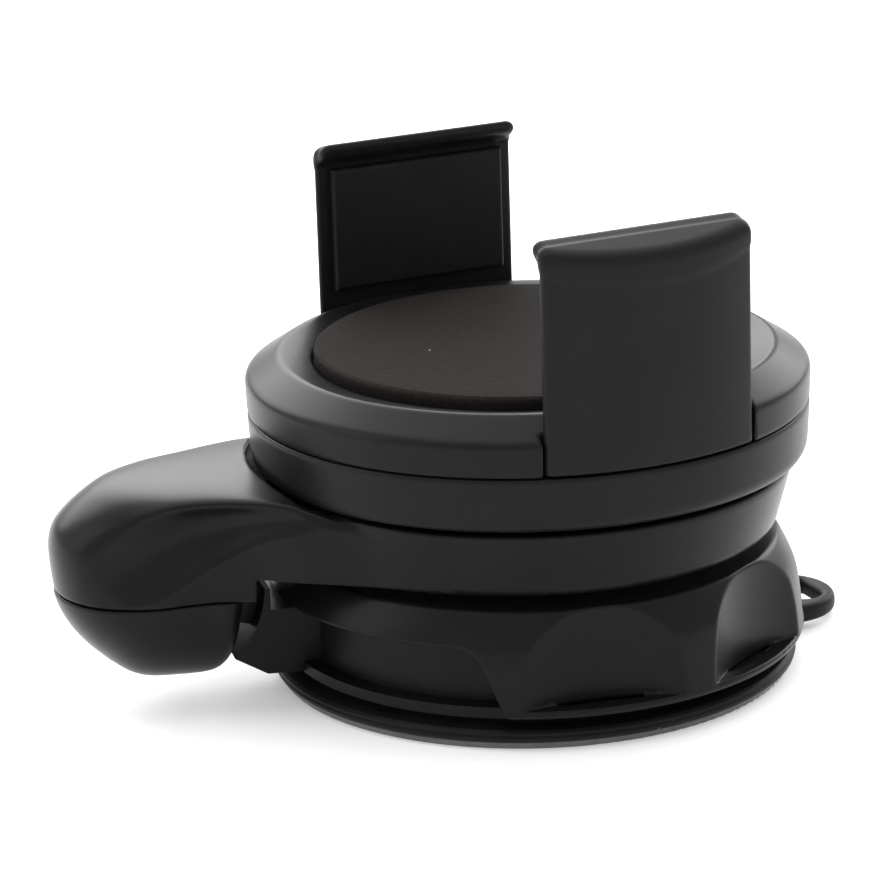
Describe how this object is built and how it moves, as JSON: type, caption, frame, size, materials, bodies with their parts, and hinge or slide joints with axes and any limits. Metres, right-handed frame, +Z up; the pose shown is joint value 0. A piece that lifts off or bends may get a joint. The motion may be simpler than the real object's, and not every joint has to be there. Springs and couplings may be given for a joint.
{
  "type": "phone mount",
  "caption": "Folding suction mount for a phone: twist-lock base, arm on a side hinge, and a round turning head with a foam rest and two sprung gripping jaws.",
  "frame": {"origin": "centre of the suction face, on the surface the mount stands on", "axes": "+Z up through the middle of the base and the phone rest; the arm's hinge is towards -X and the pull tab towards +X"},
  "size_m": [0.1055, 0.072, 0.0645],
  "materials": {
    "soft_rubber": "satin",
    "gel": "glossy",
    "housing_plastic": "satin",
    "ring_plastic": "satin",
    "arm_plastic": "satin",
    "head_plastic": "satin",
    "jaw_plastic": "fine matt grain",
    "jaw_rubber": "matt",
    "foam": "open-cell foam",
    "white_acetal": "natural acetal",
    "pin_steel": "ground",
    "screw_steel": "zinc plated",
    "spring_steel": "drawn wire"
  },
  "bodies": {
    "base": {"suction_cup": "soft_rubber", "gel_pad": "gel", "base_housing": "housing_plastic", "ring_retainer": "housing_plastic", "retainer_screws": "screw_steel"},
    "lock_ring": {"lock_ring": "ring_plastic", "cam_ring": "white_acetal"},
    "cup_puller": {"cup_stem": "white_acetal", "cross_pin": "pin_steel"},
    "arm": {"arm_shell": "arm_plastic", "arm_underplate": "housing_plastic", "arm_screws": "screw_steel", "bulb_cap": "arm_plastic", "hinge_pin": "pin_steel", "hinge_washers": "white_acetal", "swivel_glide": "white_acetal"},
    "head": {"head_base": "head_plastic", "head_cover": "head_plastic", "grip_pad": "foam", "cover_screws": "screw_steel", "swivel_retainer": "pin_steel", "swivel_spring_washer": "pin_steel", "swivel_screws": "screw_steel", "pinion_pin": "pin_steel", "jaw_spring_near": "spring_steel", "jaw_spring_far": "spring_steel"},
    "pinion": {"pinion": "white_acetal"},
    "jaw_near": {"jaw_near": "jaw_plastic", "jaw_pad_near": "jaw_rubber"},
    "jaw_far": {"jaw_far": "jaw_plastic", "jaw_pad_far": "jaw_rubber"}
  },
  "joints": [
    {"name": "lock_twist", "type": "hinge", "parent": "base", "child": "lock_ring", "pos_m": [0, 0, 0.01], "axis": [0, 0, 1], "range_deg": [-42, 0]},
    {"name": "cup_pull", "type": "slide", "parent": "base", "child": "cup_puller", "axis": [0, 0, 1], "range_m": [0, 0.0022], "deforming": ["suction_cup", "gel_pad"]},
    {"name": "arm_fold", "type": "hinge", "parent": "base", "child": "arm", "pos_m": [-0.0495, 0, 0.016], "axis": [0, -1, 0], "range_deg": [0, 90]},
    {"name": "head_spin", "type": "hinge", "parent": "arm", "child": "head", "pos_m": [0, 0, 0.0277], "axis": [0, 0, 1], "continuous": true},
    {"name": "jaw_far_slide", "type": "slide", "parent": "head", "child": "jaw_far", "axis": [-0.2181, 0.9759, 0], "range_m": [0, 0.013], "stiffness_N_per_m": 60, "springref_m": -0.02, "deforming": ["jaw_spring_far", "jaw_spring_near"]},
    {"name": "jaw_near_slide", "type": "slide", "parent": "head", "child": "jaw_near", "axis": [0.2181, -0.9759, 0], "range_m": [0, 0.013], "stiffness_N_per_m": 60, "springref_m": -0.02},
    {"name": "pinion_turn", "type": "hinge", "parent": "head", "child": "pinion", "pos_m": [0, 0, 0.0376], "axis": [0, 0, 1], "range_deg": [0, 124.2]}
  ],
  "couplings": [
    {"joint": "lock_twist", "follows": "cup_pull", "rad_per_m": -333.2},
    {"joint": "jaw_near_slide", "follows": "jaw_far_slide", "ratio": 1},
    {"joint": "pinion_turn", "follows": "jaw_far_slide", "rad_per_m": 166.67}
  ]
}
